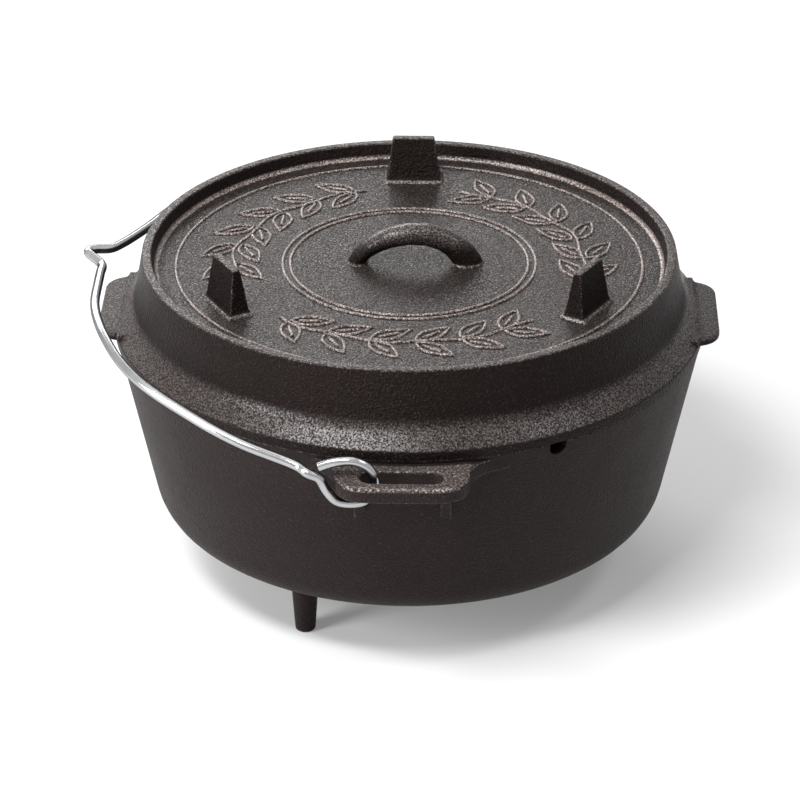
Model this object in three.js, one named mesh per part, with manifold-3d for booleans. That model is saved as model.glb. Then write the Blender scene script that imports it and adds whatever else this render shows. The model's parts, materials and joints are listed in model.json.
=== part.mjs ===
// A camp oven: a three-legged cast iron pot, its deep coal-tray lid and its steel wire bail.
// Millimetres, +Z up. The origin is on the pot's axis, at the centre of its flat underside.
// +X points away from the side the bail rests on, and the ears are at -Y and +Y.

import * as THREE from 'three'
import { mergeVertices } from 'three/addons/utils/BufferGeometryUtils.js'
import Module from 'manifold-3d'

const wasm = await Module()
wasm.setup()

// Pot bowl
const bowlHeight = 102        // flat underside to the rim
const bowlRimRadius = 154.9
const bowlFlare = 21.5        // how far the wall leans out, from the underside's height to the rim
const bowlCornerRadius = 19.5
const bowlWall = 6
const bowlFloor = 6
const rimChamfer = 0.8

// Pot legs
const legCount = 3
const legInset = 28.4         // leg's axis in from where the wall's slope meets the underside
const legLength = 34
const legTopRadius = 7.8
const legTipRadius = 5.3
const legTipRound = 1.8
const legFirstAngle = 0

// Pot ears
const earThickness = 8
const earDrop = 2             // rim down to the ear's top face
const earProjection = 26.1    // beyond the rim
const earWidth = 67.6
const earCornerRadius = 16
const earFlare = 9            // how far the root spreads along the bowl on each side
const earFlareDepth = 8       // where the spread starts, out from the rim
const earChamfer = 1.5
const slotLength = 41
const slotWidth = 11.2
const slotToEdge = 7.2        // iron outside the slot
const ribSpacing = 43
const ribWidth = 6.5
const ribHeight = 29
const ribReach = 8

// Thermometer notch in the pot's rim
const notchAngle = -Math.PI / 3
const notchWidth = 9.4
const notchDepth = 7.4

// Lid
const seatGap = 0.3           // between the rim and the lid's seat
const lidOverhang = 0.5       // flange beyond the pot's rim
const flangeEdgeHeight = 4.4
const flangeSlopeWidth = 10.2
const flangeSlopeHeight = 9.6
const flangeRound = 1
const lidHeight = 42          // seat to the top of the raised rim
const lidTopInset = 15.4      // raised rim's edge in from the flange's
const trayDepth = 8.5
const trayRimWidth = 4.8
const trayWallSlope = 2.3
const lidPlate = 5.5
const lidWall = 6.2
const lidInnerCorner = 6
const lipGap = 1.7
const lipDepth = 5
const lipSlope = 2.3
const lipWidth = 3.8

// Lid grip tabs
const tabProjection = 7.4     // beyond the flange
const tabWidth = 70
const tabThickness = 4.2
const tabLift = 3             // seat to the tab's underside
const tabCornerRadius = 15
const tabEdgeWidth = 4        // nearly flat strip before the tab rises to the lid's wall
const tabFlare = 3

// Lid feet
const footCount = 3
const footInset = 26.5        // foot's middle in from the tray's edge
const footFirstAngle = Math.PI / 2
const footHeight = 25
const footBaseLength = 30
const footBaseWidth = 12.5
const footTopLength = 22.7
const footTopWidth = 3.8
const footSkirt = 3

// Lid handle
const handleOpening = 44
const handleClearance = 11
const handleRise = 11.8
const handleDepth = 12.5
const handleLeftLeg = 8
const handleRightLeg = 16
const handleFlare = 4
const handleChamfer = 3.6

// Bail
const wireDiameter = 5
const bailOverhang = 5.37     // resting bail's middle beyond the lid's flange
const bailRise = 17.1 * Math.PI / 180
const kinkHeight = 8.4
const kinkWidth = 22
const eyeClearance = 0.5
const eyeArm = 10             // arm inside the eye's plane before it turns in

// Meshing
const roundSegments = 72
const legSegments = 16
const wireSides = 8
const wireStep = 3.4
const arcSteps = 5
const tipSteps = 2
const innerCornerSteps = 3
const handleSteps = 20
const overrun = 2             // how far a cutter or an embedded root passes a face

const iron = new THREE.MeshStandardMaterial({ color: 0x2b2725, roughness: 0.7, metalness: 0.6 })
const lidIron = new THREE.MeshStandardMaterial({ color: 0x332e2c, roughness: 0.65, metalness: 0.6 })
const steel = new THREE.MeshStandardMaterial({ color: 0xc4c7c9, roughness: 0.22, metalness: 1 })

// Places worked out from the sizes above
const bowlBaseRadius = bowlRimRadius - bowlFlare
const bowlSlope = bowlFlare / bowlHeight
const bowlRadiusAt = (z) => bowlBaseRadius + bowlSlope * z
const legCircleRadius = bowlBaseRadius - legInset
const earTop = bowlHeight - earDrop
const earMiddle = earTop - earThickness / 2
const earEdge = bowlRimRadius + earProjection
const slotCentre = earEdge - slotToEdge - slotWidth / 2
const barWidth = (earWidth - slotLength) / 2
const hingeX = -(slotLength + barWidth) / 2
const seatHeight = bowlHeight + seatGap
const lidTop = seatHeight + lidHeight
const plateTop = lidTop - trayDepth
const flangeRadius = bowlRimRadius + lidOverhang
const wallFootRadius = flangeRadius - flangeSlopeWidth
const wallFootHeight = seatHeight + flangeEdgeHeight + flangeSlopeHeight
const lidTopRadius = flangeRadius - lidTopInset
const plateRadius = lidTopRadius - trayRimWidth - trayWallSlope
const footCircleRadius = plateRadius - footInset
const bailReach = (flangeRadius + bailOverhang + hingeX) / Math.cos(bailRise)
const wireRadius = wireDiameter / 2
const barCorner = Math.hypot(barWidth / 2, earThickness / 2 - earChamfer)
const eyeRadius = barCorner + eyeClearance + wireRadius

// Closed mesh to solid, and solid back to mesh
function solid(geometry) {
  const bare = geometry.index ? geometry.toNonIndexed() : geometry.clone()
  bare.deleteAttribute('normal')
  bare.deleteAttribute('uv')
  const merged = mergeVertices(bare)
  return new wasm.Manifold(new wasm.Mesh({
    numProp: 3,
    vertProperties: new Float32Array(merged.attributes.position.array),
    triVerts: new Uint32Array(merged.index.array),
  }))
}

function named(name, body, material) {
  const { vertProperties, triVerts } = body.getMesh()
  const geometry = new THREE.BufferGeometry()
  geometry.setAttribute('position', new THREE.BufferAttribute(vertProperties, 3))
  geometry.setIndex(new THREE.BufferAttribute(triVerts, 1))
  const mesh = new THREE.Mesh(geometry.toNonIndexed(), material)
  mesh.geometry.computeVertexNormals()
  mesh.name = name
  return mesh
}

// A profile of [radius, height] points turned about Z
function turned(profile, segments) {
  const points = profile.map(([radius, height]) => new THREE.Vector2(radius, height))
  return new THREE.LatheGeometry(points, segments).rotateX(Math.PI / 2)
}

// Points of a round corner, from one angle to another
function arc(radius, height, size, from, to, steps) {
  return Array.from({ length: steps + 1 }, (_, i) => {
    const angle = from + (to - from) * i / steps
    return [radius + size * Math.cos(angle), height + size * Math.sin(angle)]
  })
}

// An outline in the XY plane, raised by height, with its edges chamfered inside it
function plate(shape, height, chamfer) {
  const geometry = new THREE.ExtrudeGeometry(shape, {
    depth: height - 2 * chamfer,
    bevelEnabled: chamfer > 0,
    bevelThickness: chamfer,
    bevelSize: chamfer,
    bevelOffset: -chamfer,
    bevelSegments: 1,
    curveSegments: arcSteps,
  })
  return geometry.translate(0, 0, chamfer)
}

// The outside or the inside of the bowl: a flat floor, a round corner and the sloping wall
function bowlProfile(inset, floor, top) {
  const corner = bowlCornerRadius - inset
  const lean = Math.atan(bowlSlope)
  const offset = inset / Math.cos(lean)
  const wallAt = (z) => bowlRadiusAt(z) - offset
  const centreHeight = floor + corner
  const centreRadius = wallAt(centreHeight) - corner / Math.cos(lean)
  return [
    [0, floor],
    ...arc(centreRadius, centreHeight, corner, -Math.PI / 2, -lean, arcSteps),
    [wallAt(top), top],
  ]
}

// Ear: a slotted plate at +Y, whose root spreads along the bowl
function ear() {
  const half = earWidth / 2
  const spread = half + earFlare
  const root = Math.sqrt(bowlRimRadius ** 2 - spread ** 2)
  const inner = root - bowlWall / 2
  const straight = Math.sqrt(bowlRimRadius ** 2 - half ** 2)
  const outline = new THREE.Shape()
  outline.moveTo(spread, inner)
  outline.lineTo(spread, root)
  outline.quadraticCurveTo(half, straight, half, straight + earFlareDepth)
  outline.lineTo(half, earEdge - earCornerRadius)
  outline.quadraticCurveTo(half, earEdge, half - earCornerRadius, earEdge)
  outline.lineTo(earCornerRadius - half, earEdge)
  outline.quadraticCurveTo(-half, earEdge, -half, earEdge - earCornerRadius)
  outline.lineTo(-half, straight + earFlareDepth)
  outline.quadraticCurveTo(-half, straight, -spread, root)
  outline.lineTo(-spread, inner)
  outline.holes.push(slot())
  return plate(outline, earThickness, earChamfer).translate(0, 0, earTop - earThickness)
}

function slot() {
  const end = slotWidth / 2
  const run = slotLength / 2 - end
  const outline = new THREE.Path()
  outline.moveTo(-run, slotCentre - end)
  outline.absarc(run, slotCentre, end, -Math.PI / 2, Math.PI / 2, false)
  outline.absarc(-run, slotCentre, end, Math.PI / 2, 3 * Math.PI / 2, false)
  return outline
}

// Gusset rib at +Y, a triangle from the ear's underside down to the bowl's wall
function rib(x) {
  const top = earMiddle
  const edge = earTop - earThickness
  const foot = edge - ribHeight
  const shape = new THREE.Shape()
  shape.moveTo(bowlRadiusAt(foot) - bowlWall / 2, foot)
  shape.lineTo(bowlRadiusAt(foot), foot)
  shape.lineTo(bowlRadiusAt(edge) + ribReach, edge)
  shape.lineTo(bowlRadiusAt(edge) + ribReach, top)
  shape.lineTo(bowlRadiusAt(top) - bowlWall / 2, top)
  return new THREE.ExtrudeGeometry(shape, { depth: ribWidth, bevelEnabled: false })
    .translate(0, 0, -ribWidth / 2).rotateX(Math.PI / 2).rotateZ(Math.PI / 2).translate(x, 0, 0)
}

function leg(angle) {
  const profile = [
    [0, -legLength],
    ...arc(legTipRadius - legTipRound, legTipRound - legLength, legTipRound, -Math.PI / 2, 0, tipSteps),
    [legTopRadius, 0],
    [legTopRadius, bowlFloor / 2],
    [0, bowlFloor / 2],
  ]
  return turned(profile, legSegments).translate(legCircleRadius, 0, 0).rotateZ(angle)
}

// Half-round notch that lets a probe in under the lid
function notch() {
  const round = notchWidth / 2
  const middle = bowlHeight - notchDepth + round
  const shape = new THREE.Shape()
  shape.moveTo(round, bowlHeight + overrun)
  shape.lineTo(-round, bowlHeight + overrun)
  shape.absarc(0, middle, round, Math.PI, 2 * Math.PI, false)
  const reach = 2 * bowlWall + 2 * overrun
  return new THREE.ExtrudeGeometry(shape, { depth: reach, bevelEnabled: false, curveSegments: arcSteps })
    .rotateX(Math.PI / 2).rotateZ(Math.PI / 2).translate(bowlRimRadius + overrun - reach, 0, 0)
    .rotateZ(notchAngle)
}

function pot() {
  const outside = bowlProfile(0, 0, bowlHeight - rimChamfer)
  outside.push([bowlRimRadius - rimChamfer, bowlHeight], [0, bowlHeight])
  const inside = bowlProfile(bowlWall, bowlFloor, bowlHeight + overrun)
  inside.push([0, bowlHeight + overrun])
  let body = solid(turned(outside, roundSegments))
  for (const side of [0, Math.PI]) {
    body = body.add(solid(ear().rotateZ(side)))
    for (const x of [-ribSpacing / 2, ribSpacing / 2]) {
      body = body.add(solid(rib(x).rotateZ(side)))
    }
  }
  for (let i = 0; i < legCount; i += 1) {
    body = body.add(solid(leg(legFirstAngle + 2 * Math.PI * i / legCount)))
  }
  return body.subtract(solid(turned(inside, roundSegments))).subtract(solid(notch()))
}

// Lid: the tray, its raised rim, the sloping flange, and the hollow and locating lip underneath
function lidShell() {
  const wallSlope = (wallFootRadius - lidTopRadius) / (lidTop - wallFootHeight)
  const wallAt = (z) => wallFootRadius - wallSlope * (z - wallFootHeight)
  const ceiling = plateTop - lidPlate
  const cornerHeight = ceiling - lidInnerCorner
  const lipRadius = bowlRimRadius - bowlWall - lipGap
  const lipFoot = seatHeight - lipDepth
  const profile = [
    [0, ceiling],
    ...arc(wallAt(cornerHeight) - lidWall - lidInnerCorner, cornerHeight, lidInnerCorner,
      Math.PI / 2, 0, innerCornerSteps),
    [wallFootRadius - lidWall, wallFootHeight],
    [lipRadius - lipSlope - lipWidth, lipFoot],
    [lipRadius - lipSlope, lipFoot],
    [lipRadius, seatHeight],
    [flangeRadius, seatHeight],
    [flangeRadius, seatHeight + flangeEdgeHeight - flangeRound],
    [flangeRadius - flangeRound, seatHeight + flangeEdgeHeight],
    [wallFootRadius, wallFootHeight],
    [lidTopRadius, lidTop - rimChamfer],
    [lidTopRadius - rimChamfer, lidTop],
    [lidTopRadius - trayRimWidth + rimChamfer, lidTop],
    [lidTopRadius - trayRimWidth, lidTop - rimChamfer],
    [plateRadius + trayWallSlope / 3, plateTop + trayWallSlope],
    [plateRadius - trayWallSlope / 2, plateTop],
    [0, plateTop],
  ]
  return turned(profile, roundSegments)
}

// Grip tab at +X: rounded in plan, nearly flat at its edge and rising to the lid's wall
function tab() {
  const half = tabWidth / 2
  const edge = flangeRadius + tabProjection
  const low = seatHeight + tabLift
  const high = low + tabThickness
  const inner = lidTopRadius - trayRimWidth
  const outline = new THREE.Shape()
  outline.moveTo(inner, -half - tabFlare)
  outline.lineTo(Math.sqrt(flangeRadius ** 2 - (half + tabFlare) ** 2), -half - tabFlare)
  outline.quadraticCurveTo(Math.sqrt(flangeRadius ** 2 - half ** 2), -half,
    edge - tabCornerRadius, -half)
  outline.quadraticCurveTo(edge, -half, edge, tabCornerRadius - half)
  outline.lineTo(edge, half - tabCornerRadius)
  outline.quadraticCurveTo(edge, half, edge - tabCornerRadius, half)
  outline.quadraticCurveTo(Math.sqrt(flangeRadius ** 2 - half ** 2), half,
    Math.sqrt(flangeRadius ** 2 - (half + tabFlare) ** 2), half + tabFlare)
  outline.lineTo(inner, half + tabFlare)
  const section = new THREE.Shape()
  section.moveTo(inner, low)
  section.lineTo(edge - flangeRound, low)
  section.lineTo(edge, low + flangeRound)
  section.lineTo(edge, high - flangeRound)
  section.lineTo(edge - flangeRound, high)
  section.lineTo(edge - tabEdgeWidth, high + flangeRound / 2)
  section.quadraticCurveTo(wallFootRadius + tabEdgeWidth, high + flangeRound,
    wallFootRadius, wallFootHeight)
  section.lineTo(inner, wallFootHeight)
  const length = tabWidth + 2 * tabFlare + 2 * overrun
  const wedge = new THREE.ExtrudeGeometry(section, {
    depth: length, bevelEnabled: false, curveSegments: arcSteps,
  }).translate(0, 0, -length / 2).rotateX(Math.PI / 2)
  const column = new THREE.ExtrudeGeometry(outline, {
    depth: wallFootHeight - low + 2 * overrun, bevelEnabled: false, curveSegments: arcSteps,
  }).translate(0, 0, low - overrun)
  return [wedge, column]
}

// Block whose top is smaller than its base
function frustum(baseLength, baseWidth, topLength, topWidth, low, high) {
  const geometry = new THREE.BoxGeometry(1, 1, 1)
  const { position } = geometry.attributes
  for (let i = 0; i < position.count; i += 1) {
    const top = position.getZ(i) > 0
    position.setXYZ(i, position.getX(i) * (top ? topLength : baseLength),
      position.getY(i) * (top ? topWidth : baseWidth), top ? high : low)
  }
  return geometry
}

// Lid foot at +X, its long side across the radius, with a skirt where it meets the tray
function foot(angle) {
  const place = (geometry) => solid(geometry.rotateZ(Math.PI / 2)
    .translate(footCircleRadius, 0, 0).rotateZ(angle))
  const shareAtSkirt = footSkirt / footHeight
  const post = frustum(footBaseLength, footBaseWidth, footTopLength, footTopWidth,
    plateTop - lidPlate / 2, plateTop + footHeight)
  const skirt = frustum(footBaseLength + footSkirt, footBaseWidth + footSkirt,
    footBaseLength - (footBaseLength - footTopLength) * shareAtSkirt,
    footBaseWidth - (footBaseWidth - footTopWidth) * shareAtSkirt,
    plateTop - lidPlate / 2, plateTop + footSkirt)
  return place(post).add(place(skirt))
}

// Closed skin over a row of rings, each with as many points, and flat at both ends
function loft(rings) {
  const size = rings[0].length
  const faces = []
  for (let i = 1; i < rings.length; i += 1) {
    for (let j = 0; j < size; j += 1) {
      const next = (j + 1) % size
      const [a, b] = [(i - 1) * size + j, (i - 1) * size + next]
      const [c, d] = [i * size + j, i * size + next]
      faces.push(a, d, b, a, c, d)
    }
  }
  const last = (rings.length - 1) * size
  for (let j = 2; j < size; j += 1) faces.push(0, j - 1, j, last, last + j, last + j - 1)
  return new THREE.BufferGeometry().setFromPoints(rings.flat()).setIndex(faces)
}

// Arched handle in the XZ plane, with a slim leg at -X and a broad one at +X
function handle() {
  const open = handleOpening / 2
  const root = plateTop - lidPlate / 2
  const under = plateTop + handleClearance
  const top = under + handleRise
  const middle = plateTop + handleClearance / 2
  const left = -open - handleLeftLeg
  const right = open + handleRightLeg
  const crown = (left + right) / 4
  const outer = new THREE.Path()
  outer.moveTo(left - handleFlare, root)
  outer.quadraticCurveTo(left, plateTop, left, plateTop + handleFlare)
  outer.bezierCurveTo(left, under, crown - open, top, crown, top)
  outer.bezierCurveTo(crown + open, top, right - handleFlare, under, right, plateTop + handleFlare)
  outer.quadraticCurveTo(right + handleFlare / 2, plateTop, right + handleFlare, root)
  const inner = new THREE.Path()
  inner.moveTo(-open, root)
  inner.lineTo(-open, plateTop)
  inner.bezierCurveTo(-open, middle, -open / 2, under, 0, under)
  inner.bezierCurveTo(open / 2, under, open, middle, open, plateTop)
  inner.lineTo(open, root)
  const innerPoints = inner.getSpacedPoints(handleSteps)
  const side = handleDepth / 2
  const edge = side - handleChamfer
  const rings = outer.getSpacedPoints(handleSteps).map((outside, i) => {
    const inside = innerPoints[i]
    const corner = handleChamfer / outside.distanceTo(inside)
    const at = (share, y) => new THREE.Vector3(
      inside.x + (outside.x - inside.x) * share, y, inside.y + (outside.y - inside.y) * share)
    return [at(corner, -side), at(1 - corner, -side), at(1, -edge), at(1, edge),
      at(1 - corner, side), at(corner, side), at(0, edge), at(0, -edge)]
  })
  return loft(rings)
}

function lid() {
  let body = solid(lidShell())
  for (const side of [0, Math.PI]) {
    const [wedge, column] = tab()
    const grip = solid(wedge.rotateZ(side)).intersect(solid(column.rotateZ(side)))
    body = body.add(grip)
  }
  for (let i = 0; i < footCount; i += 1) {
    body = body.add(foot(footFirstAngle + 2 * Math.PI * i / footCount))
  }
  return body.add(solid(handle()))
}

// Wire path in the hinge's own measures. Each eye is open and lies in a slot's middle plane
const eyeShares = [             // along X and Z from the hinge, times the eye's radius
  [-1.34, 0.94], [-0.88, 1.13], [-0.4, 1.24], [0.38, 1.25], [1.03, 0.92], [1.34, 0.3],
  [1.28, -0.38], [0.85, -0.92], [0.14, -1.06], [-0.5, -0.93], [-0.98, -0.36], [-1.34, 0.3],
]
const nearArcShares = [         // across and out, times the half span and the reach
  [0.975, 0.182], [0.938, 0.382], [0.898, 0.498], [0.839, 0.617], [0.79, 0.706], [0.736, 0.783],
  [0.65, 0.862], [0.534, 0.929], [0.428, 0.972], [0.325, 0.996], [0.188, 1], [0.11, 1],
]
const kinkShares = [            // across and out from the reach, times the kink's width and height
  [-0.42, 0.02], [-0.073, 0.74], [0.07, 1], [0.305, 0.56], [0.56, -0.31],
]
const farArcShares = [
  [0.128, 0.944], [0.223, 0.894], [0.33, 0.844], [0.446, 0.794], [0.565, 0.737], [0.672, 0.676],
  [0.761, 0.601], [0.826, 0.508], [0.874, 0.415], [0.91, 0.329], [0.942, 0.243], [0.975, 0.18],
]

function bail() {
  const onArm = (across, out) => new THREE.Vector3(
    hingeX - out * Math.cos(bailRise), across, earMiddle + out * Math.sin(bailRise))
  const eye = (y) => eyeShares.map(([x, z]) => new THREE.Vector3(
    hingeX + x * eyeRadius, y, earMiddle + z * eyeRadius))
  const armStart = eyeRadius + eyeArm
  const points = [
    ...eye(-slotCentre),
    onArm(-slotCentre, armStart),
    ...nearArcShares.map(([across, out]) => onArm(-across * slotCentre, out * bailReach)),
    ...kinkShares.map(([across, out]) => onArm(across * kinkWidth, bailReach + out * kinkHeight)),
    ...farArcShares.map(([across, out]) => onArm(across * slotCentre, out * bailReach)),
    onArm(slotCentre, armStart),
    ...eye(slotCentre).reverse(),
  ]
  const path = new THREE.CatmullRomCurve3(points, false, 'centripetal')
  const section = new THREE.Shape()
  section.absarc(0, 0, wireRadius, 0, 2 * Math.PI, false)
  return new THREE.ExtrudeGeometry(section, {
    steps: Math.round(path.getLength() / wireStep),
    extrudePath: path,
    curveSegments: wireSides / 2,
  })
}

const campOven = new THREE.Group()
campOven.add(
  named('pot', pot(), iron),
  named('lid', lid(), lidIron),
  named('bail', solid(bail()), steel),
)

export default campOven
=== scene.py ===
import json
import math

import bpy
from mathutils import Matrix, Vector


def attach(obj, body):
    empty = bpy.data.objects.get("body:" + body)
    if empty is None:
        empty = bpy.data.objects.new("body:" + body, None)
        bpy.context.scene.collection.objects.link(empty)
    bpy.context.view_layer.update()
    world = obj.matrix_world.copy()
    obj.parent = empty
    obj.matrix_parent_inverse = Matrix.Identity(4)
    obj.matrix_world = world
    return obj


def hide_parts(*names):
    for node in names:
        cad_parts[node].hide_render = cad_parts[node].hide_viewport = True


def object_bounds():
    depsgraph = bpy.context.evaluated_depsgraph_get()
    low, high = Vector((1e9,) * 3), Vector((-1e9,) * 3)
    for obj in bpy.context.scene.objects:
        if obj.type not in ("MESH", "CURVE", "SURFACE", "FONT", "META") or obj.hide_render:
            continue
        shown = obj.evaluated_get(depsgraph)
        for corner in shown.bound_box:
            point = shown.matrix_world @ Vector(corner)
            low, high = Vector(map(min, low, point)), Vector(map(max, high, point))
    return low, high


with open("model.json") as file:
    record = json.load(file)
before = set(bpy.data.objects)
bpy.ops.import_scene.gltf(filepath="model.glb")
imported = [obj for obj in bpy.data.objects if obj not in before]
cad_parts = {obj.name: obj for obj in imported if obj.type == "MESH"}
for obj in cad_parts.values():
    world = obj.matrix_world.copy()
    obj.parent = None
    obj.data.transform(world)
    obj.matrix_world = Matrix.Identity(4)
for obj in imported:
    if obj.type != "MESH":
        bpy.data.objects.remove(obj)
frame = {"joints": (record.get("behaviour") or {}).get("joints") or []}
cad_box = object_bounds()

# Studio. A pale plain floor that the legs stand on, a white world and five large soft lamps,
# with the camera looking down on the oven from the front as the photograph does.
aim_height = 0.054
camera_distance = 2.0
camera_rise = math.radians(27.89)
camera_turn = math.radians(1.27)
picture_width = 800  # pixels, as is the next value
axis_offset = 9.3  # the oven's axis stands this far right of the picture's middle
lamp_aim = (0, 0, 0.1)
floor_width = 12
floor_glow = 0.2  # share of the floor's own light where the camera sees it
room_light = 0.22  # strength of the white world on the object

camera = bpy.data.objects.new("camera", bpy.data.cameras.new("camera"))
bpy.context.scene.collection.objects.link(camera)
camera.data.lens, camera.data.sensor_width = 168, 36
camera.data.shift_x = -axis_offset / picture_width
camera.data.clip_start, camera.data.clip_end = 0.05, 50
camera.location = (
    camera_distance * math.cos(camera_rise) * math.sin(camera_turn),
    -camera_distance * math.cos(camera_rise) * math.cos(camera_turn),
    aim_height + camera_distance * math.sin(camera_rise))
camera.rotation_euler = (math.pi / 2 - camera_rise, 0, camera_turn)
bpy.context.scene.camera = camera
bpy.context.scene.view_settings.view_transform = "Standard"


def softbox(name, place, target, width, height, power):
    """A rectangular lamp at place, facing target."""
    lamp = bpy.data.objects.new(name, bpy.data.lights.new(name, "AREA"))
    bpy.context.scene.collection.objects.link(lamp)
    lamp.data.shape = "RECTANGLE"
    lamp.data.size, lamp.data.size_y, lamp.data.energy = width, height, power
    lamp.location = place
    facing = lamp.location - type(lamp.location)(target)
    lamp.rotation_euler = facing.to_track_quat("Z", "Y").to_euler()


softbox("front softbox", (-0.62, -0.9, 1.85), lamp_aim, 1.1, 0.42, 43)
softbox("left softbox", (-1.5, -1.0, 0.75), (0, 0, 0.06), 0.6, 1.0, 31)
softbox("right softbox", (1.2, -0.35, 1.8), lamp_aim, 0.6, 0.4, 8)
softbox("back softbox", (-0.7, 1.8, 1.1), lamp_aim, 1.8, 0.7, 30)
softbox("top softbox", (0, 0.3, 2.2), lamp_aim, 1.2, 1.2, 4)


class Signal:
    """One output of a finish's nodes. Sums on it add Math nodes."""

    def __init__(self, finish, socket):
        self.finish, self.socket = finish, socket

    def combine(self, operation, first, second):
        return self.finish.node("ShaderNodeMath", {"operation": operation}, {0: first, 1: second})

    def __add__(self, other):
        return self.combine("ADD", self, other)

    def __radd__(self, other):
        return self.combine("ADD", other, self)

    def __sub__(self, other):
        return self.combine("SUBTRACT", self, other)

    def __rsub__(self, other):
        return self.combine("SUBTRACT", other, self)

    def __mul__(self, other):
        return self.combine("MULTIPLY", self, other)

    def __rmul__(self, other):
        return self.combine("MULTIPLY", other, self)

    def at_most(self, limit):
        return self.combine("MINIMUM", self, limit)


class Finish:
    """The nodes of a material or a world. They are added in one way: kind, settings, sockets."""

    def __init__(self, owner):
        self.owner = owner
        owner.use_nodes = True
        owner.node_tree.nodes.clear()

    def node(self, kind, settings=None, sockets=None, out=0):
        made = self.owner.node_tree.nodes.new(kind)
        for key, value in (settings or {}).items():
            setattr(made, key, value)
        for key, value in (sockets or {}).items():
            socket = made.inputs[key] if isinstance(key, int) else next(
                s for s in made.inputs if s.name == key and s.enabled)
            if isinstance(value, Signal):
                self.owner.node_tree.links.new(value.socket, socket)
            else:
                socket.default_value = value
        live = [s for s in made.outputs if s.enabled]
        return Signal(self, next((s for s in live if out in (0, s.name)), None))


def background_seen(finish):
    """1 for the rays that show the background: the camera's, and those off gloss or in glass."""
    camera_ray, gloss_ray, glass_ray = [
        finish.node("ShaderNodeLightPath", out=f"Is {kind} Ray")
        for kind in ("Camera", "Glossy", "Transmission")]
    return camera_ray + gloss_ray + glass_ray


bpy.ops.object.select_all(action="DESELECT")
bpy.ops.mesh.primitive_plane_add(size=floor_width, location=(0, 0, cad_box[0][2]))
floor = bpy.context.object
floor.name = "floor"
studio = Finish(bpy.data.materials.new("white floor"))
paper = studio.node("ShaderNodeBsdfDiffuse", None, {"Color": (0.8, 0.8, 0.8, 1)})
glow = studio.node("ShaderNodeEmission", None, {"Color": (1, 1, 1, 1), "Strength": 1.0})
mixed = studio.node("ShaderNodeMixShader", None,
                    {0: floor_glow * background_seen(studio), 1: paper, 2: glow})
studio.node("ShaderNodeOutputMaterial", None, {"Surface": mixed})
floor.data.materials.append(studio.owner)

room = Finish(bpy.data.worlds.new("white room"))
bpy.context.scene.world = room.owner
sky = room.node("ShaderNodeBackground", None,
                {"Strength": room_light + (1 - room_light) * background_seen(room)})
room.node("ShaderNodeOutputWorld", None, {"Surface": sky})


# Pot bowl. One iron sand casting with a flat underside, a large round corner and a wall that
# leans out to a plain rim. The rim carries a half-round notch that lets a probe in under the lid.
bowl_height = 0.102
rim_radius = 0.1549
rim_round = 0.0009
rim_loops = (0.018, 0.014, 0.011, 0.009)  # rings below the rim, where the notch is cut
bowl_flare = 0.0215
bowl_corner = 0.0195
iron_wall = 0.006
middle_disc = 0.08  # radius of the flat discs that the round castings are pulled up from
around = 216
notch_turn = -math.pi / 3
notch_radius, notch_depth = 0.0047, 0.0074
notch_lift = 0.01  # takes the upper half of the notch's round cutter past the rim
lean = math.atan(bowl_flare / bowl_height)
outer_foot = rim_radius - bowl_flare
inner_rim = rim_radius - iron_wall / math.cos(lean)
inner_foot = inner_rim - math.tan(lean) * (bowl_height - iron_wall)


def softened(outline, steps):
    """Rings of an outline whose every corner, given as radius, height and rounding, is rounded."""
    rings = [outline[0][:2]]
    for before, (radius, height, rounding), after in zip(outline, outline[1:], outline[2:]):
        if not rounding:
            rings.append((radius, height))
            continue
        to = [(p[0] - radius, p[1] - height) for p in (before, after)]
        units = [(x / math.hypot(x, y), y / math.hypot(x, y)) for x, y in to]
        cosine = units[0][0] * units[1][0] + units[0][1] * units[1][1]
        cut = rounding / math.tan(math.acos(max(-1, min(1, cosine))) / 2)
        for i in range(steps + 1):
            share = i / steps
            start, end = (1 - share) ** 2 * cut, share ** 2 * cut
            rings.append((radius + start * units[0][0] + end * units[1][0],
                          height + start * units[0][1] + end * units[1][1]))
    return rings + [outline[-1][:2]]


def turn_rings(name, rings):
    """A closed round body, pulled up ring by ring from a disc round the oven's axis."""
    bpy.ops.object.select_all(action="DESELECT")
    radius, height = rings[0]
    bpy.ops.mesh.primitive_circle_add(vertices=around, radius=radius, fill_type="NGON",
                                      location=(0, 0, height))
    bpy.ops.object.transform_apply()
    body = bpy.context.object
    body.name = name
    bpy.ops.object.mode_set(mode="EDIT")
    bpy.ops.mesh.select_all(action="SELECT")
    for next_radius, next_height in rings[1:]:
        bpy.ops.mesh.extrude_region_move(
            TRANSFORM_OT_translate={"value": (0, 0, next_height - height)})
        share = next_radius / radius
        bpy.ops.transform.resize(value=(share, share, 1), center_override=(0, 0, next_height))
        radius, height = next_radius, next_height
    bpy.ops.mesh.select_all(action="SELECT")
    bpy.ops.mesh.normals_make_consistent(inside=False)
    bpy.ops.object.mode_set(mode="OBJECT")
    return body


def alone(piece):
    """Makes piece the only selected object, and the active one."""
    bpy.ops.object.select_all(action="DESELECT")
    piece.select_set(True)
    bpy.context.view_layer.objects.active = piece


def pick(piece, chosen):
    """Opens piece in edit mode with only its chosen vertices selected."""
    alone(piece)
    bpy.ops.object.mode_set(mode="EDIT")
    bpy.ops.mesh.select_mode(type="VERT")
    bpy.ops.mesh.select_all(action="DESELECT")
    bpy.ops.object.mode_set(mode="OBJECT")
    for spot in piece.data.vertices:
        spot.select = chosen(spot.co)
    bpy.ops.object.mode_set(mode="EDIT")


def nudge(piece, chosen, move):
    """Moves the chosen vertices of piece."""
    pick(piece, chosen)
    bpy.ops.transform.translate(value=move)
    bpy.ops.object.mode_set(mode="OBJECT")


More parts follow.
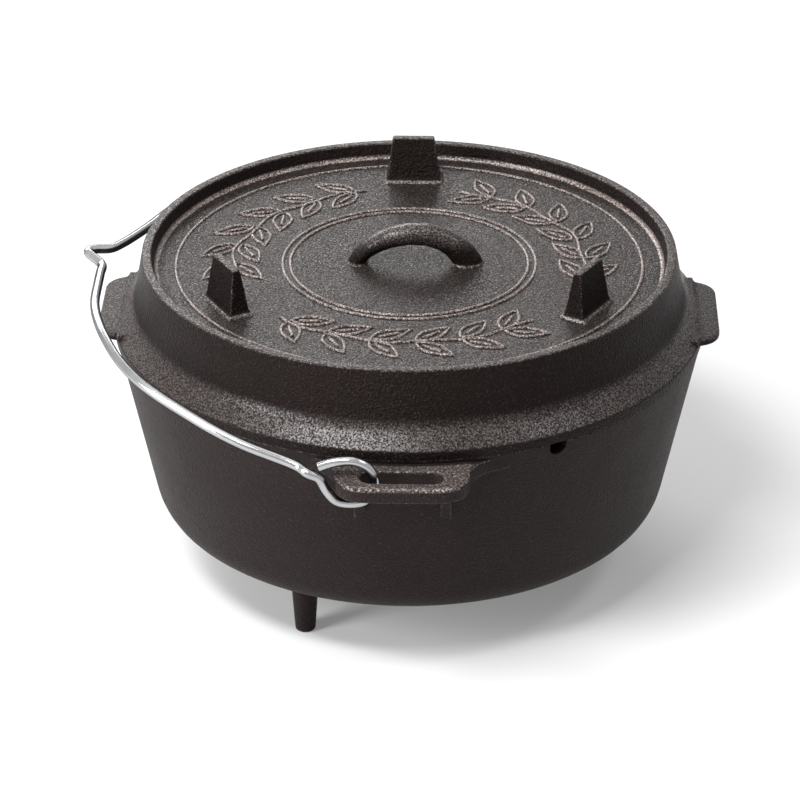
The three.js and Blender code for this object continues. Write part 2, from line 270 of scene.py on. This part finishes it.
def modify(piece, kind, **settings):
    """Adds a modifier to piece with these settings and applies it."""
    alone(piece)
    modifier = piece.modifiers.new(kind.lower(), kind)
    for key, value in settings.items():
        setattr(modifier, key, value)
    bpy.ops.object.modifier_apply(modifier=modifier.name)


def cut_away(piece, cutter):
    """Takes cutter out of piece, and removes it."""
    modify(piece, "BOOLEAN", operation="DIFFERENCE", solver="EXACT", object=cutter)
    bpy.data.objects.remove(cutter)


def dress(piece, finish, body, angle=35):
    """Smooth shading but for sharp edges, the finish, and the body that piece moves with."""
    alone(piece)
    bpy.ops.object.shade_smooth_by_angle(angle=math.radians(angle))
    piece.data.materials.clear()
    piece.data.materials.append(finish)
    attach(piece, body)


axis, beyond = -1, 0.2  # as a pale place's bounds: from the oven's axis out, and without end


def cast_iron(name, tones, roughness, grain, edge_wear_and_highlight, wear_and_highlight_places=()):
    """Seasoned cast iron: a sandy brown-black skin with bright grains, its edges paler, partly
    rubbed bare and partly as a painted highlight.
    A pale place lies between two radii and two heights, then come the softness of the heights
    and how much paler and glossier it is; the paleness is a painted highlight, but rubbed iron on
    the pot's rim."""
    iron = Finish(bpy.data.materials.new(name))
    place = iron.node("ShaderNodeTexCoord", out="Object")
    height = iron.node("ShaderNodeSeparateXYZ", None, {"Vector": place}, "Z")
    flat = iron.node("ShaderNodeVectorMath", {"operation": "MULTIPLY"}, {0: place, 1: (1, 1, 0)})
    reach = iron.node("ShaderNodeVectorMath", {"operation": "LENGTH"}, {0: flat}, "Value")

    def ramp(level, low, high):
        return iron.node("ShaderNodeMapRange", {"interpolation_type": "SMOOTHSTEP"},
                         {"Value": level, "From Min": low, "From Max": high})

    def within(level, low, high, soft):
        return ramp(level, low - soft, low + soft) * (1 - ramp(level, high - soft, high + soft))

    patches = iron.node("ShaderNodeTexNoise", None,
                        {"Vector": place, "Scale": 38, "Detail": 5, "Roughness": 0.62})
    sand = iron.node("ShaderNodeTexNoise", None,
                     {"Vector": place, "Scale": 1150, "Detail": 2, "Roughness": 0.6})
    pits = iron.node("ShaderNodeTexVoronoi", {"feature": "F1"},
                     {"Vector": place, "Scale": 700, "Randomness": 1})
    grains = 0.05 + 0.8 * ramp(sand, 0.4, 0.66) + 1.3 * (1 - ramp(pits, 0.12, 0.45))
    ragged = 0.0009 * (sand - 0.5)
    bright = 0.003 + 0.034 * ramp(sand, 0.55, 0.68)
    shine = 0
    # Each place lightens the colour: a painted highlight on the lid, the tabs and the ears, wear on
    # the pot's rim.
    for radii, heights, soft, wear_and_highlight_paleness, gloss in wear_and_highlight_places:
        here = within(reach + ragged, *radii, 0.0006) * within(height + ragged, *heights, soft)
        bright = bright + wear_and_highlight_paleness * here
        shine = shine + gloss * here
    # Convex edges, found by pointiness, are lightened: partly wear, partly a painted highlight.
    edge = iron.node("ShaderNodeNewGeometry", out="Pointiness")
    edge_wear_and_highlight_mask = ramp(edge + 0.04 * (sand - 0.5), 0.51, 0.575)
    black, brown = tones
    skin = iron.node("ShaderNodeMix", {"data_type": "RGBA"},
                     {"Factor": patches, "A": (*black, 1), "B": (*brown, 1)})
    skin_with_wear_and_highlights = iron.node("ShaderNodeMix", {"data_type": "RGBA"},
                      {"Factor": (bright + edge_wear_and_highlight * edge_wear_and_highlight_mask) * grains, "A": skin,
                       "B": (0.42, 0.38, 0.352, 1)})
    rough = roughness + 0.2 * (patches - 0.5) + 0.12 * (pits - 0.5)
    bump = iron.node("ShaderNodeBump", None,
                     {"Height": sand + pits * 0.5 + patches * 0.5, "Strength": grain,
                      "Distance": 0.002})
    shader = iron.node("ShaderNodeBsdfPrincipled", None,
                       {"Base Color": skin_with_wear_and_highlights, "Roughness": rough, "Normal": bump,
                        "Specular IOR Level": 0.1, "Specular Tint": (1, 0.76, 0.73, 1),
                        "Coat Weight": (shine * grains).at_most(1.0) if wear_and_highlight_places else 0,
                        "Coat Roughness": 0.36, "Coat Tint": (1, 0.9, 0.88, 1)})
    iron.node("ShaderNodeOutputMaterial", None, {"Surface": shader})
    return iron.owner


pot_skin = {"tones": ((0.0092, 0.0068, 0.0067), (0.0162, 0.0122, 0.012)),
            "roughness": 0.5, "grain": 0.35}
bowl_iron = cast_iron("bowl iron", **pot_skin, edge_wear_and_highlight=0, wear_and_highlight_places=[
    ((axis, beyond), (bowl_height - 0.0006, beyond), 0.0003, 0.15, 0.3)])  # the rim's top

bowl = turn_rings("pot_bowl", softened([
    (middle_disc, 0, 0), (outer_foot, 0, bowl_corner),
    *[(rim_radius - drop * math.tan(lean), bowl_height - drop, 0) for drop in rim_loops],
    (rim_radius, bowl_height, rim_round), (inner_rim, bowl_height, rim_round),
    *[(inner_rim - drop * math.tan(lean), bowl_height - drop, 0) for drop in rim_loops[::-1]],
    (inner_foot, iron_wall, bowl_corner - iron_wall),
    (middle_disc, iron_wall, 0)], steps=9))

notch_middle = bowl_height - notch_depth + notch_radius
bpy.ops.object.select_all(action="DESELECT")
bpy.ops.mesh.primitive_cylinder_add(
    vertices=32, radius=notch_radius, depth=5 * iron_wall, rotation=(0, math.pi / 2, notch_turn),
    location=(rim_radius * math.cos(notch_turn), rim_radius * math.sin(notch_turn), notch_middle))
bpy.ops.object.transform_apply()
notch_cutter = bpy.context.object
nudge(notch_cutter, lambda spot: spot.z > notch_middle, (0, 0, notch_lift))
cut_away(bowl, notch_cutter)
dress(bowl, bowl_iron, "pot")
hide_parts("pot")


# Pot legs. Three tapering pegs with rounded tips, cast in one with the bowl on a circle under
# its flat bottom. Each runs out into the iron round it with a small fillet.
leg_circle = 0.105
leg_length = 0.034
leg_root = 0.003  # how far a leg runs up into the bottom
leg_top, leg_tip = 0.0078, 0.0053
fillet_radius, fillet_low, fillet_high = 0.014, 0.0004, 0.0039


def union_cast(parts, name, grid, melt):
    """Parts fused into one skin of grid-sized faces, then smoothed so that their joints run out."""
    bpy.ops.object.select_all(action="DESELECT")
    for part in parts:
        part.select_set(True)
    bpy.context.view_layer.objects.active = parts[0]
    bpy.ops.object.join()
    body = bpy.context.object
    body.name = name
    modify(body, "REMESH", mode="VOXEL", voxel_size=grid)
    modify(body, "SMOOTH", factor=0.5, iterations=melt)
    return body


def copy_turned(piece, name, angle):
    """A copy of piece with its own mesh, turned about the oven's axis."""
    twin = piece.copy()
    twin.data = piece.data.copy()
    twin.name = name
    bpy.context.scene.collection.objects.link(twin)
    alone(twin)
    twin.rotation_euler = (0, 0, angle)
    bpy.ops.object.transform_apply()
    return twin


leg_iron = cast_iron("leg iron", **pot_skin, edge_wear_and_highlight=0.25)

bpy.ops.object.select_all(action="DESELECT")
bpy.ops.mesh.primitive_cone_add(vertices=48, radius1=leg_tip, radius2=leg_top,
                                depth=leg_length + leg_root,
                                location=(leg_circle, 0, (leg_root - leg_length) / 2))
bpy.ops.object.transform_apply()
peg = bpy.context.object
bpy.ops.mesh.primitive_cylinder_add(vertices=64, radius=fillet_radius,
                                    depth=fillet_high - fillet_low,
                                    location=(leg_circle, 0, (fillet_low + fillet_high) / 2))
bpy.ops.object.transform_apply()
right_leg = union_cast([peg, bpy.context.object], "leg_right", grid=0.0006, melt=14)
for leg in (right_leg, copy_turned(right_leg, "leg_back", 2 * math.pi / 3),
            copy_turned(right_leg, "leg_front", -2 * math.pi / 3)):
    dress(leg, leg_iron, "pot", angle=60)


# Pot ears. Two flat lugs just under the rim, each with a long slot for the bail and two short
# gussets below, cast in one with the bowl and swelling where they join it.
ear_top, ear_under = 0.100, 0.092
ear_middle = (ear_top + ear_under) / 2
ear_start, ear_edge = 0.13, 0.181  # along Y, from inside the bowl's wall to the free edge
ear_half, ear_corner = 0.0338, 0.0155
slot_middle = 0.1682
slot_end, slot_run = 0.0056, 0.0149
slot_cutter_depth = 0.03
root_steps = [  # half width and reach of the swelling root, from the wall outwards
    (0.0525, 0.1442), (0.0462, 0.1470), (0.0415, 0.150), (0.0378, 0.1535), (0.0352, 0.158),
    (ear_half - 0.0004, 0.1618)]
root_step_down = 0.0004  # how far the root lies under the ear's faces
gusset_spread, gusset_half = 0.0215, 0.0030
gusset_foot, gusset_top = 0.063, 0.095
gusset_start, gusset_reach, gusset_draw_back = 0.14, 0.1605, 0.0157
sunk = 0.0003  # how far a part that only shows as a fillet lies under its neighbour's face
wall_low, wall_high, wall_depth = 0.055, 0.1006, 0.003  # the stretch of wall round the ear
wall_half_angle = math.radians(20)
hollow_low, hollow_high, hollow_depth = 0.045, 0.11, 0.0045
hair = 0.0001  # tells one end of a block's or cylinder's vertices from the other


def block(low, high):
    """A box between two corners."""
    bpy.ops.object.select_all(action="DESELECT")
    bpy.ops.mesh.primitive_cube_add(
        size=1, location=[(a + b) / 2 for a, b in zip(low, high)],
        scale=[b - a for a, b in zip(low, high)])
    bpy.ops.object.transform_apply()
    return bpy.context.object


def round_off(piece, vertical, size, segments):
    """Bevels the upright edges on one side of a block; vertical picks them by their middle."""
    alone(piece)
    bpy.ops.object.mode_set(mode="EDIT")
    bpy.ops.mesh.select_mode(type="EDGE")
    bpy.ops.mesh.select_all(action="DESELECT")
    bpy.ops.object.mode_set(mode="OBJECT")
    spots = piece.data.vertices
    for side in piece.data.edges:
        a, b = (spots[i].co for i in side.vertices)
        side.select = abs(a.z - b.z) > 0.6 * (a - b).length and vertical((a + b) / 2)
    bpy.ops.object.mode_set(mode="EDIT")
    bpy.ops.mesh.bevel(offset=size, segments=segments, affect="EDGES")
    bpy.ops.mesh.select_mode(type="VERT")
    bpy.ops.object.mode_set(mode="OBJECT")


def wall_sector(section, half_angle, steps=40):
    """A stretch of round wall at +Y: a four-cornered section spun about the oven's axis."""
    bpy.ops.object.select_all(action="DESELECT")
    bpy.ops.mesh.primitive_plane_add(size=1)
    strip = bpy.context.object
    start = math.pi / 2 - half_angle
    for spot, (radius, height) in zip(strip.data.vertices, section):
        spot.co = (radius * math.cos(start), radius * math.sin(start), height)
    bpy.ops.object.mode_set(mode="EDIT")
    bpy.ops.mesh.select_all(action="SELECT")
    bpy.ops.mesh.spin(steps=steps, angle=2 * half_angle, center=(0, 0, 0), axis=(0, 0, 1))
    bpy.ops.mesh.select_all(action="SELECT")
    bpy.ops.mesh.remove_doubles(threshold=0.00001)
    bpy.ops.mesh.fill_holes(sides=0)
    bpy.ops.mesh.normals_make_consistent(inside=False)
    bpy.ops.object.mode_set(mode="OBJECT")
    return strip


def bowl_radius(height):
    """The bowl's outer radius at a height."""
    return outer_foot + math.tan(lean) * height


# The ear's top, the top's edge and the side are paler as painted highlights.
ear_iron = cast_iron("ear iron", **pot_skin, edge_wear_and_highlight=0.25, wear_and_highlight_places=[
    ((0.157, beyond), (ear_top - 0.0003, beyond), 0.0003, 0.3, 0.5),  # the top
    ((ear_edge - 0.0017, beyond), (ear_top - 0.0016, beyond), 0.0004, 0.3, 0.4),  # the top's edge
    ((0.1745, beyond), (ear_under + 0.0002, ear_top - 0.0016), 0.0005, 0.015, 0.05)])  # the side

ear_plate = block((-ear_half, ear_start, ear_under), (ear_half, ear_edge, ear_top))
round_off(ear_plate, lambda middle: middle.y > slot_middle, ear_corner, 8)
bpy.ops.object.select_all(action="DESELECT")
bpy.ops.mesh.primitive_cylinder_add(vertices=48, radius=slot_end, depth=slot_cutter_depth,
                                    location=(0, slot_middle, ear_middle))
bpy.ops.object.transform_apply()
slot_cutter = bpy.context.object
nudge(slot_cutter, lambda spot: spot.x > hair, (slot_run, 0, 0))
nudge(slot_cutter, lambda spot: spot.x < -hair, (-slot_run, 0, 0))
cut_away(ear_plate, slot_cutter)

root_half, root_reach = root_steps[0]
ear_root = block((-root_half, ear_start, ear_under + root_step_down),
                 (root_half, root_reach, ear_top - root_step_down))
pick(ear_root, lambda spot: spot.y > ear_start + hair)
bpy.ops.mesh.select_mode(type="FACE")
for (half, reach), (next_half, next_reach) in zip(root_steps, root_steps[1:]):
    bpy.ops.mesh.extrude_region_move(
        TRANSFORM_OT_translate={"value": (0, next_reach - reach, 0)})
    bpy.ops.transform.resize(value=(next_half / half, 1, 1),
                             center_override=(0, next_reach, ear_middle))
bpy.ops.mesh.select_mode(type="VERT")
bpy.ops.object.mode_set(mode="OBJECT")

gussets = []
for side in (-1, 1):
    gusset = block((side * gusset_spread - gusset_half, gusset_start, gusset_foot),
                   (side * gusset_spread + gusset_half, gusset_reach, gusset_top))
    nudge(gusset, lambda spot: spot.y > gusset_start + hair and spot.z < gusset_foot + hair,
          (0, -gusset_draw_back, 0))
    gussets.append(gusset)
ear_wall = wall_sector([(bowl_radius(height) - depth, height)
                        for height in (wall_low, wall_high) for depth in (wall_depth, sunk)],
                       wall_half_angle)
back_ear = union_cast([ear_plate, ear_root, *gussets, ear_wall], "ear_back",
                      grid=0.0007, melt=7)

bpy.ops.object.select_all(action="DESELECT")
bpy.ops.mesh.primitive_cone_add(vertices=around, radius1=bowl_radius(hollow_low) - hollow_depth,
                                radius2=bowl_radius(hollow_high) - hollow_depth,
                                depth=hollow_high - hollow_low,
                                location=(0, 0, (hollow_low + hollow_high) / 2))
bpy.ops.object.transform_apply()
cut_away(back_ear, bpy.context.object)
front_ear = copy_turned(back_ear, "ear_front", math.pi)
for ear in (back_ear, front_ear):
    dress(ear, ear_iron, "pot", angle=50)


# Lid. One iron casting: a deep tray for coals with a raised rim, a lip that locates it in the
# pot, and a sloping flange that rests on the pot's rim and runs out past it.
seat, seat_round = 0.1023, 0.0003
lid_edge = 0.1554
flange_thickness, flange_round = 0.0044, 0.0011
flange_top = seat + flange_thickness
wall_foot, wall_foot_height, wall_foot_round = 0.1452, 0.1163, 0.017
lid_top, lid_top_radius = 0.1443, 0.140
lid_rim_width, lid_rim_round = 0.0048, 0.0012
plate_height, plate_radius, plate_thickness = 0.1358, 0.1329, 0.0055
plate_fillet, plate_fillet_out = 0.0024, 0.0004
ceiling = plate_height - plate_thickness
hollow_radius, hollow_corner = 0.1364, 0.006
hollow_foot, hollow_foot_round = 0.139, 0.003
lip_depth, lip_round = 0.005, 0.0008
lip_low = seat - lip_depth
lip_inner, lip_outer, lip_root = 0.1411, 0.1449, 0.1472

# The lid's tones are darker than the pot's: painted shade on the same iron.
lid_skin = {"tones": ((0.0033, 0.0021, 0.002), (0.0062, 0.004, 0.0038)),
            "roughness": 0.4, "grain": 0.5, "edge_wear_and_highlight": 0.3}
lid_iron = cast_iron("lid iron", **lid_skin, wear_and_highlight_places=[
    # the tray's plate, paler as painted light from above, and the fillet round it, with a painted
    # highlight line
    ((axis, plate_radius - 0.0004), (0.13, plate_height + 0.0012), 0.0005, 0.058, 0.2),
    ((plate_radius - 0.0006, plate_radius + 0.001), (plate_height - 0.0006, plate_height + 0.0021),
     0.0005, 0.8, 9.0),
    # the raised rim's top, and the flange's slope, both with a painted highlight
    ((0.134, lid_top_radius + 0.0002), (lid_top - 0.0006, beyond), 0.0005, 0.16, 0.45),
    ((0.14, lid_edge - 0.0005), (seat + 0.0012, wall_foot_height + 0.0009), 0.003, 0.085, 1.15),
    # the skirts of the feet and the handle, the handle's arch, and the feet's tops, all with a
    # painted highlight
    ((axis, 0.129), (plate_height + 0.0003, plate_height + 0.0015), 0.0003, 0.3, 2.5),
    ((axis, 0.036), (plate_height + 0.0127, beyond), 0.005, 0.14, 1.3),
    ((0.09, 0.125), (plate_height + 0.0245, beyond), 0.0003, 0.22, 0.4)])

lid_shell = turn_rings("lid_shell", softened([
    (middle_disc, ceiling, 0), (hollow_radius, ceiling, hollow_corner),
    (hollow_foot, wall_foot_height, hollow_foot_round),
    (lip_inner, lip_low, lip_round), (lip_outer, lip_low, lip_round),
    (lip_root, seat, seat_round), (lid_edge, seat, seat_round),
    (lid_edge, flange_top, flange_round), (wall_foot, wall_foot_height, wall_foot_round),
    (lid_top_radius, lid_top, lid_rim_round),
    (lid_top_radius - lid_rim_width, lid_top, lid_rim_round),
    (plate_radius + plate_fillet_out, plate_height, plate_fillet),
    (middle_disc, plate_height, 0)], steps=6))
dress(lid_shell, lid_iron, "lid")
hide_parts("lid")


# Grip tabs. Two flat tongues on the lid's flange, at the left and the right, where a lifter or a
# gloved hand takes hold. Each rises in a hollow curve to the lid's wall.
tab_start, tab_edge = 0.142, 0.1628
tab_half, tab_corner = 0.035, 0.0135
tab_low, tab_high = seat + 0.003, seat + 0.0072
tab_swell = 0.003  # how far the root spreads to each side
tab_root_reach, tab_root_rise = 0.1515, 0.001
tab_wall_section = [(0.1435, 0.1040), (0.1552, 0.1066), (0.1435, 0.1178),
                    (wall_foot - 0.0004, 0.1161)]
tab_wall_half_angle = math.radians(21)

# The tab's top is paler as a painted highlight.
tab_iron = cast_iron("tab iron", **lid_skin, wear_and_highlight_places=[
    ((0.14, beyond), (tab_high - 0.0015, tab_high + 0.004), 0.001, 0.06, 0.35)])  # the top

tab_plate = block((-tab_half, tab_start, tab_low), (tab_half, tab_edge, tab_high))
round_off(tab_plate, lambda middle: middle.y > tab_start + hair, tab_corner, 8)
tab_root = block((-tab_half - tab_swell, tab_start, tab_low),
                 (tab_half + tab_swell, tab_root_reach, tab_high + tab_root_rise))
tab_wall = wall_sector(tab_wall_section, tab_wall_half_angle)
back_tab = union_cast([tab_plate, tab_root, tab_wall], "tab_back", grid=0.0006, melt=16)
for tab in (copy_turned(back_tab, "tab_left", math.pi / 2),
            copy_turned(back_tab, "tab_right", -math.pi / 2)):
    dress(tab, tab_iron, "lid", angle=60)
bpy.data.objects.remove(back_tab)


# Lid feet. Three tapering posts on the tray, on which the lid also stands upside down. They are
# cast in one with it and spread into a skirt at the bottom.
foot_circle = 0.1064
foot_top = plate_height + 0.025
foot_root = 0.003  # how far a foot runs down into the plate
post_half_length, post_half_width = 0.015, 0.00625
post_taper = (0.757, 0.34, 1)
skirt_half_length, skirt_half_width = 0.0185, 0.0095
swell_half_length, swell_half_width, swell_rise = 0.0158, 0.0072, 0.0014


def foot_block(half_length, half_width, top):
    """A block for the back foot, from inside the plate up to top."""
    return block((-half_length, foot_circle - half_width, plate_height - foot_root),
                 (half_length, foot_circle + half_width, top))


foot_post = foot_block(post_half_length, post_half_width, foot_top)
pick(foot_post, lambda spot: spot.z > plate_height)
bpy.ops.transform.resize(value=post_taper, center_override=(0, foot_circle, foot_top))
bpy.ops.object.mode_set(mode="OBJECT")
foot_skirt = foot_block(skirt_half_length, skirt_half_width, plate_height - sunk)
foot_swell = foot_block(swell_half_length, swell_half_width, plate_height + swell_rise)
back_foot = union_cast([foot_post, foot_skirt, foot_swell], "foot_back", grid=0.00055, melt=7)
for foot in (back_foot, copy_turned(back_foot, "foot_left", 2 * math.pi / 3),
             copy_turned(back_foot, "foot_right", -2 * math.pi / 3)):
    dress(foot, lid_iron, "lid", angle=60)


# Lid handle. A low arch over the middle of the tray, cast in one with it: a slim leg at the left,
# a broad one at the right, and a rough rounded section that swells at both roots.
arch = [  # x and height of the arch's middle line, and its thickness there
    (-0.0290, -0.0030, 0.0130), (-0.0268, 0.0010, 0.0098), (-0.0255, 0.0042, 0.0086),
    (-0.0215, 0.0082, 0.0090), (-0.0160, 0.0118, 0.0100), (-0.0090, 0.0148, 0.0110),
    (0.0000, 0.0166, 0.0116), (0.0090, 0.0164, 0.0118), (0.0170, 0.0140, 0.0122),
    (0.0232, 0.0102, 0.0130), (0.0276, 0.0058, 0.0142), (0.0300, 0.0015, 0.0160),
    (0.0308, -0.0030, 0.0180)]
arch_run_on = 0.005  # how far the middle line runs on below its last point, for its slope there
handle_depth = 0.0125
pad_places = ((-0.0275, 0.012), (0.0305, 0.0145))  # x and radius of the swelling roots
pad_depth = 0.003

first_x, first_z, first_thick = arch[0]
bpy.ops.object.select_all(action="DESELECT")
bpy.ops.mesh.primitive_circle_add(vertices=32, radius=0.5, fill_type="NGON")
arm = bpy.context.object
bpy.ops.object.mode_set(mode="EDIT")
bpy.ops.mesh.select_all(action="SELECT")
bpy.ops.transform.resize(value=(first_thick, handle_depth, 1))
bpy.ops.transform.translate(value=(first_x, 0, plate_height + first_z))
tilt = 0
end_x, end_z, _ = arch[-1]
for (x, z, thick), (next_x, next_z, next_thick), (far_x, far_z, _) in zip(
        arch, arch[1:], arch[2:] + [(end_x, end_z - arch_run_on, 0)]):
    bpy.ops.mesh.extrude_region_move(
        TRANSFORM_OT_translate={"value": (next_x - x, 0, next_z - z)})
    middle = (next_x, 0, plate_height + next_z)
    heading = math.atan2(far_x - x, far_z - z)
    bpy.ops.transform.rotate(value=tilt - heading, orient_axis="Y", center_override=middle)
    bpy.ops.transform.resize(value=(next_thick / thick, 1, next_thick / thick),
                             center_override=middle)
    tilt = heading
bpy.ops.mesh.select_all(action="SELECT")
bpy.ops.mesh.normals_make_consistent(inside=False)
bpy.ops.object.mode_set(mode="OBJECT")
pads = []
for x, radius in pad_places:
    bpy.ops.mesh.primitive_cylinder_add(vertices=48, radius=radius, depth=pad_depth,
                                        location=(x, 0, plate_height - pad_depth / 2 - sunk))
    bpy.ops.object.transform_apply()
    pads.append(bpy.context.object)
handle = union_cast([arm, *pads], "lid_handle", grid=0.0006, melt=10)
dress(handle, lid_iron, "lid", angle=60)


# Lid ornament. A plain laurel ring cast as low raised lines on the tray, in three like stretches
# between the feet, with a line outside it and a double line inside it.
line_width = 0.0019
ring_radii, ring_steps = (0.1225, 0.0665, 0.0625), 180
stretches, first_stretch = 3, 30  # their number, and the degrees to the middle of the first
stem_circle, stem_steps = 0.0925, 30
stem_wave, stem_waves = 0.0015, 3  # how far a stem swings to each side, and how many times
stem_half_angle = 44  # degrees, as are the next three values
first_leaf, leaf_step, leaf_splay = -40, 14.5, 38
leaf_pairs = 6
leaf_length, leaf_half, leaf_steps = 0.0225, 0.0048, 20
leaf_lean = 0.8  # a power, which below 1 puts a leaf's broadest place nearer its root
vein_shares = (0.18, 0.35, 0.52, 0.68)


def bent_rod(name, route, thickness, roundness, closed=False):
    """A round rod along a route of points."""
    bpy.ops.object.select_all(action="DESELECT")
    bpy.ops.curve.primitive_bezier_curve_add()
    rod = bpy.context.object
    rod.name = name
    rod.data.splines.clear()
    path = rod.data.splines.new("POLY")
    path.points.add(len(route) - 1)
    for point, place in zip(path.points, route):
        point.co = (*place, 1)
    path.use_cyclic_u = closed
    rod.data.twist_mode = "MINIMUM"
    rod.data.bevel_depth = thickness / 2
    rod.data.bevel_resolution = roundness
    rod.data.use_fill_caps = True
    bpy.ops.object.convert(target="MESH")
    return bpy.context.object


def raised_line(points, closed=False):
    """A low half-round ridge on the tray, along points in the XY plane."""
    return bent_rod("raised line", [(x, y, plate_height) for x, y in points], line_width, 2, closed)


def polar(radius, angle):
    """The point at a radius and an angle round the oven's axis."""
    return radius * math.cos(angle), radius * math.sin(angle)


def from_root(root, way, along, across=0):
    """The point that lies along and across a leaf from its root."""
    return (root[0] + along * math.cos(way) - across * math.sin(way),
            root[1] + along * math.sin(way) + across * math.cos(way))


ridges = [raised_line([polar(radius, i * 2 * math.pi / ring_steps) for i in range(ring_steps)],
                      closed=True)
          for radius in ring_radii]
for stretch in range(stretches):
    middle = math.radians(first_stretch + 360 / stretches * stretch)
    ridges.append(raised_line([
        polar(stem_circle + stem_wave * math.sin(i / stem_steps * 2 * stem_waves * math.pi),
              middle + math.radians((2 * i / stem_steps - 1) * stem_half_angle))
        for i in range(stem_steps + 1)]))
    for i in range(leaf_pairs):
        root_angle = middle + math.radians(first_leaf + leaf_step * i)
        for side in (-1, 1):
            root = polar(stem_circle + side * stem_wave, root_angle)
            way = root_angle + math.pi / 2 - side * math.radians(leaf_splay)
            outline = []
            for j in range(leaf_steps):
                there = 2 * j <= leaf_steps
                share = 2 * j / leaf_steps if there else 2 - 2 * j / leaf_steps
                width = leaf_half * math.sin(math.pi * share ** leaf_lean) * (1 if there else -1)
                outline.append(from_root(root, way, leaf_length * share, width))
            ridges.append(raised_line(outline, closed=True))
            ridges.append(raised_line([from_root(root, way, leaf_length * share)
                                       for share in vein_shares]))
bpy.ops.object.select_all(action="DESELECT")
for ridge in ridges:
    ridge.select_set(True)
bpy.context.view_layer.objects.active = ridges[0]
bpy.ops.object.join()
ornament = bpy.context.object
ornament.name = "lid_ornament"
dress(ornament, lid_iron, "lid", angle=60)


# Bail. One length of bright zinc-plated steel wire, bent into a hoop with a kink that keeps a
# hook in its middle, and turned in to an open eye through the slot of each ear.
wire_thickness = 0.005
hinge_x, _, hinge_z = next(joint["pos_m"] for joint in frame["joints"]
                           if joint["name"] == "bail_swing")
bail_reach = 0.1398
bail_rise = math.radians(17.1)
kink_height, kink_width = 0.0084, 0.022
eye_radius = 0.01011
eye_arm = 0.010
curve_steps = 8  # points of the route from one bend to the next
eye_shares = [  # x and height from the hinge, times the eye's radius
    (-1.34, 0.94), (-0.88, 1.13), (-0.4, 1.24), (0.38, 1.25), (1.03, 0.92), (1.34, 0.3),
    (1.28, -0.38), (0.85, -0.92), (0.14, -1.06), (-0.5, -0.93), (-0.98, -0.36), (-1.34, 0.3)]
near_shares = [  # across and out of the front half, times half the span and the reach
    (0.975, 0.182), (0.938, 0.382), (0.898, 0.498), (0.839, 0.617), (0.79, 0.706),
    (0.736, 0.783), (0.65, 0.862), (0.534, 0.929), (0.428, 0.972), (0.325, 0.996),
    (0.188, 1), (0.11, 1)]
kink_shares = [  # across, and out from the reach, times the kink's width and height
    (-0.42, 0.02), (-0.12, 0.7), (-0.01, 0.97), (0.13, 0.99), (0.3, 0.62), (0.56, -0.31)]
far_shares = [
    (0.128, 0.944), (0.223, 0.894), (0.33, 0.844), (0.446, 0.794), (0.565, 0.737),
    (0.672, 0.676), (0.761, 0.601), (0.826, 0.508), (0.874, 0.415), (0.91, 0.329),
    (0.942, 0.243), (0.975, 0.18)]


def on_arm(across, out):
    """The point across the oven and out from the hinge, in the resting bail's plane."""
    return (hinge_x - out * math.cos(bail_rise), across, hinge_z + out * math.sin(bail_rise))


def mixed_points(points, starts, ends, now):
    """Each point mixed with the next, by how far now is from that pair's start to its end."""
    return [tuple(((end - now) * p + (now - start) * q) / (end - start) for p, q in zip(a, b))
            for a, b, start, end in zip(points, points[1:], starts, ends)]


def between(four, share):
    """A point of the centripetal curve through four points, between the second and the third."""
    times = [0]
    for a, b in zip(four, four[1:]):
        times.append(times[-1] + math.dist(a, b) ** 0.5)
    now = times[1] + share * (times[2] - times[1])
    three = mixed_points(four, times, times[1:], now)
    two = mixed_points(three, times, times[2:], now)
    return mixed_points(two, times[1:], times[2:], now)[0]


near_eye = [(hinge_x + x * eye_radius, -slot_middle, hinge_z + z * eye_radius)
            for x, z in eye_shares]
far_eye = [(x, -y, z) for x, y, z in reversed(near_eye)]
bends = [
    *near_eye, on_arm(-slot_middle, eye_radius + eye_arm),
    *[on_arm(-across * slot_middle, out * bail_reach) for across, out in near_shares],
    *[on_arm(across * kink_width, bail_reach + out * kink_height) for across, out in kink_shares],
    *[on_arm(across * slot_middle, out * bail_reach) for across, out in far_shares],
    on_arm(slot_middle, eye_radius + eye_arm), *far_eye]
before, after = [tuple(2 * a - b for a, b in zip(end, inner))
                 for end, inner in ((bends[0], bends[1]), (bends[-1], bends[-2]))]
held = [before, *bends, after]
route = [between(held[i:i + 4], step / curve_steps)
         for i in range(len(held) - 3) for step in range(curve_steps)]
bail = bent_rod("bail_wire", [*route, bends[-1]], wire_thickness, 4)

zinc = Finish(bpy.data.materials.new("zinc-plated steel"))
zinc_place = zinc.node("ShaderNodeTexCoord", out="Object")
cloud = zinc.node("ShaderNodeTexNoise", None,
                  {"Vector": zinc_place, "Scale": 45, "Detail": 4, "Roughness": 0.6})
scratch = zinc.node("ShaderNodeTexNoise", None,
                    {"Vector": zinc_place, "Scale": 900, "Detail": 3, "Roughness": 0.6})
tone = zinc.node("ShaderNodeMix", {"data_type": "RGBA"},
                 {"Factor": cloud, "A": (0.3, 0.305, 0.31, 1), "B": (0.62, 0.625, 0.63, 1)})
zinc_bump = zinc.node("ShaderNodeBump", None,
                      {"Height": scratch, "Strength": 0.12, "Distance": 0.0003})
zinc_shader = zinc.node("ShaderNodeBsdfPrincipled", None,
                        {"Base Color": tone, "Metallic": 1.0, "Specular Tint": (0.2, 0.2, 0.22, 1),
                         "Roughness": 0.08 + 0.14 * cloud + 0.08 * scratch, "Normal": zinc_bump})
zinc.node("ShaderNodeOutputMaterial", None, {"Surface": zinc_shader})
dress(bail, zinc.owner, "bail", angle=50)
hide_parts("bail")
